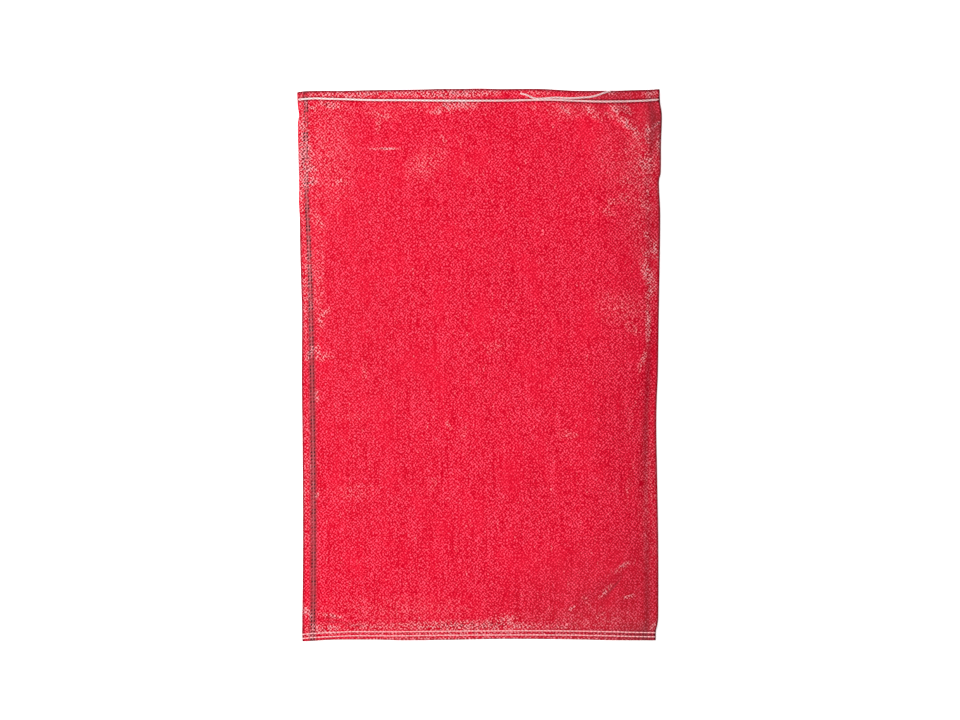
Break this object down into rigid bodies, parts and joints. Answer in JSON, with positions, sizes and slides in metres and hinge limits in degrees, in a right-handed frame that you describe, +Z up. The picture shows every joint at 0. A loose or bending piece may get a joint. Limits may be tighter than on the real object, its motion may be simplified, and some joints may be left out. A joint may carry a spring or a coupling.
{
  "type": "woven polypropylene sack",
  "caption": "Empty sack of woven plastic tape lying flat: a seamless tube with a hemmed open mouth and a bottom folded under and stitched.",
  "frame": {"origin": "on the surface the sack lies on, under the middle of its outline", "axes": "+Y along the sack towards its mouth, +X across it to the right of its front, +Z up out of its front panel"},
  "size_m": [0.6624, 1.0032, 0.0194],
  "materials": {
    "woven_tape": "plain weave of flat red tape, slightly glossy",
    "sewing_thread": "matt white twisted thread"
  },
  "bodies": {
    "root": {"sack_cloth": "woven_tape"}
  },
  "joints": []
}
